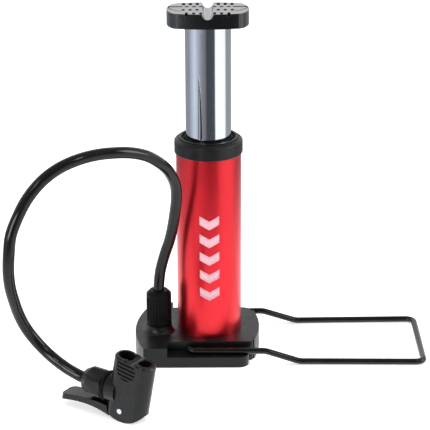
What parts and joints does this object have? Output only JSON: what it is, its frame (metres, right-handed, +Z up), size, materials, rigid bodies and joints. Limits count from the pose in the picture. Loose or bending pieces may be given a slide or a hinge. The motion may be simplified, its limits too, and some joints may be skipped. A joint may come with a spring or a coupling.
{
  "type": "foot air pump",
  "caption": "Upright mini foot pump: aluminium barrel, sprung plunger with a treaded foot pedal, folding wire foot bracket, and a hose with a twin-port thumb-lock chuck.",
  "frame": {"origin": "barrel axis at the floor, in the middle of the base's underside pad", "axes": "+Z up along the barrel, +X from the barrel towards the foot bracket, -Y towards the side on which the hose's chuck stands"},
  "size_m": [0.2276, 0.1402, 0.1965],
  "materials": {
    "black_plastic": "satin moulded",
    "pedal_plastic": "satin moulded",
    "chuck_plastic": "satin moulded",
    "red_anodised": "satin red anodised",
    "bare_aluminium": "machined",
    "chrome": "polished",
    "zinc_steel": "zinc plated",
    "spring_steel": "drawn",
    "black_wire": "gloss black",
    "black_rubber": "matt",
    "hose_rubber": "semi-gloss",
    "acetal": "plain moulded",
    "brass": "turned"
  },
  "bodies": {
    "root": {"base": "black_plastic", "duct_cover": "black_plastic", "base_screws": "zinc_steel", "barrel": "red_anodised", "barrel_plug": "bare_aluminium", "barrel_oring": "black_rubber", "port_oring": "black_rubber", "collar": "black_plastic", "guide_bush": "acetal", "wiper_ring": "black_rubber", "bump_ring": "black_rubber", "return_spring": "spring_steel", "check_spring": "spring_steel", "hose_barb": "brass", "hose_ferrule": "brass", "hose_nut": "black_plastic", "hose": "hose_rubber", "chuck_body": "chuck_plastic", "chuck_barb": "brass", "chuck_oring": "black_rubber", "chuck_sleeve": "chuck_plastic", "schrader_gland": "black_rubber", "presta_gland": "black_rubber", "schrader_pin": "brass", "lever_pin": "zinc_steel"},
    "spring_seat": {"spring_seat": "acetal"},
    "plunger": {"plunger_tube": "chrome", "pedal": "pedal_plastic", "piston": "bare_aluminium", "piston_cup": "black_rubber", "cup_washer": "zinc_steel", "piston_screw": "zinc_steel"},
    "foot_bracket": {"foot_bracket": "black_wire"},
    "check_ball": {"check_ball": "zinc_steel"},
    "chuck_lever": {"chuck_lever": "chuck_plastic"},
    "chuck_pusher": {"chuck_pusher": "acetal"}
  },
  "joints": [
    {"name": "plunger_slide", "type": "slide", "parent": "root", "child": "spring_seat", "axis": [0, 0, 1], "range_m": [-0.0628, 0], "stiffness_N_per_m": 200, "springref_m": 0.05, "deforming": ["return_spring"]},
    {"name": "pedal_swivel", "type": "hinge", "parent": "spring_seat", "child": "plunger", "pos_m": [0, 0, 0.19], "axis": [0, 0, 1], "continuous": true},
    {"name": "bracket_fold", "type": "hinge", "parent": "root", "child": "foot_bracket", "pos_m": [-0.011, 0, 0.008], "axis": [0, -1, 0], "range_deg": [0, 81]},
    {"name": "check_lift", "type": "slide", "parent": "root", "child": "check_ball", "axis": [0, 0, 1], "range_m": [0, 0.0012], "stiffness_N_per_m": 60, "springref_m": -0.002, "deforming": ["check_spring"]},
    {"name": "lever_flip", "type": "hinge", "parent": "root", "child": "chuck_lever", "pos_m": [-0.04371, -0.09423, 0.006], "axis": [-0.5299, -0.848, 0], "range_deg": [0, 90]},
    {"name": "pusher_lift", "type": "slide", "parent": "root", "child": "chuck_pusher", "axis": [0.1589, -0.0993, 0.9823], "range_m": [0, 0.0017]}
  ],
  "couplings": [
    {"joint": "pusher_lift", "follows": "lever_flip", "m_per_rad": 0.00108}
  ]
}
